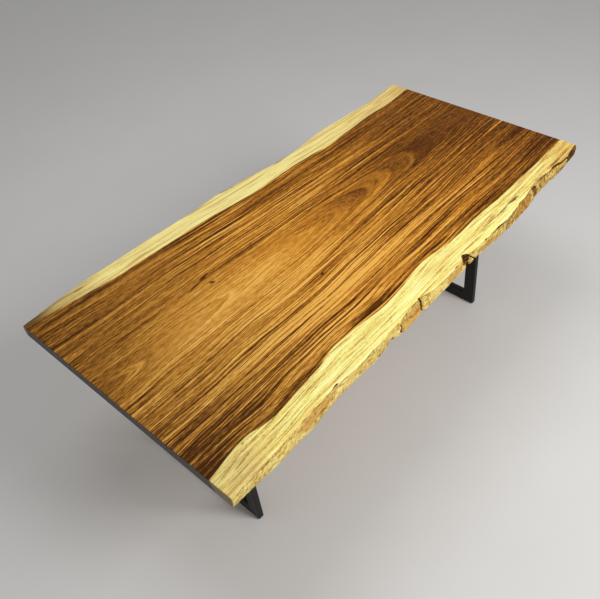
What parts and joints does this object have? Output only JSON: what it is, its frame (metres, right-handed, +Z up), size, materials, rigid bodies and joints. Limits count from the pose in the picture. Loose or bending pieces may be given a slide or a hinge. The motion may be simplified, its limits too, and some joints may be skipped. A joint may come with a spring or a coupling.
{
  "type": "live edge dining table",
  "caption": "Dining table: a natural live edge slab with pale sapwood along its long edges, bolted to closed loop legs of black steel tube with screw levelling glides.",
  "frame": {"origin": "on the floor under the middle of the slab's box", "axes": "+Z up, +X along the slab's length to its right end, -Y towards the front live edge"},
  "size_m": [2, 1.0759, 0.745],
  "materials": {
    "slab_wood": "satin oil over golden brown heartwood and cream sapwood",
    "frame_steel": "satin black powder coat",
    "fastener_steel": "zinc plated",
    "insert_brass": "machined",
    "glide_plastic": "moulded nylon"
  },
  "bodies": {
    "table": {"live_edge_slab": "slab_wood", "left_frame_bottom_rail": "frame_steel", "left_frame_top_rail": "frame_steel", "left_frame_front_upright": "frame_steel", "left_frame_rear_upright": "frame_steel", "left_mounting_plate": "frame_steel", "left_plate_bolts": "fastener_steel", "left_plate_washers": "fastener_steel", "left_slab_inserts": "insert_brass", "left_glide_nuts": "fastener_steel", "right_frame_bottom_rail": "frame_steel", "right_frame_top_rail": "frame_steel", "right_frame_front_upright": "frame_steel", "right_frame_rear_upright": "frame_steel", "right_mounting_plate": "frame_steel", "right_plate_bolts": "fastener_steel", "right_plate_washers": "fastener_steel", "right_slab_inserts": "insert_brass", "right_glide_nuts": "fastener_steel"},
    "left_front_glide": {"left_front_glide_stem": "fastener_steel", "left_front_glide_pad": "glide_plastic"},
    "left_rear_glide": {"left_rear_glide_stem": "fastener_steel", "left_rear_glide_pad": "glide_plastic"},
    "right_front_glide": {"right_front_glide_stem": "fastener_steel", "right_front_glide_pad": "glide_plastic"},
    "right_rear_glide": {"right_rear_glide_stem": "fastener_steel", "right_rear_glide_pad": "glide_plastic"}
  },
  "joints": [
    {"name": "left_front_glide_screw", "type": "slide", "parent": "table", "child": "left_front_glide", "axis": [0, 0, -1], "range_m": [0, 0.008]},
    {"name": "left_rear_glide_screw", "type": "slide", "parent": "table", "child": "left_rear_glide", "axis": [0, 0, -1], "range_m": [0, 0.008]},
    {"name": "right_front_glide_screw", "type": "slide", "parent": "table", "child": "right_front_glide", "axis": [0, 0, -1], "range_m": [0, 0.008]},
    {"name": "right_rear_glide_screw", "type": "slide", "parent": "table", "child": "right_rear_glide", "axis": [0, 0, -1], "range_m": [0, 0.008]}
  ]
}
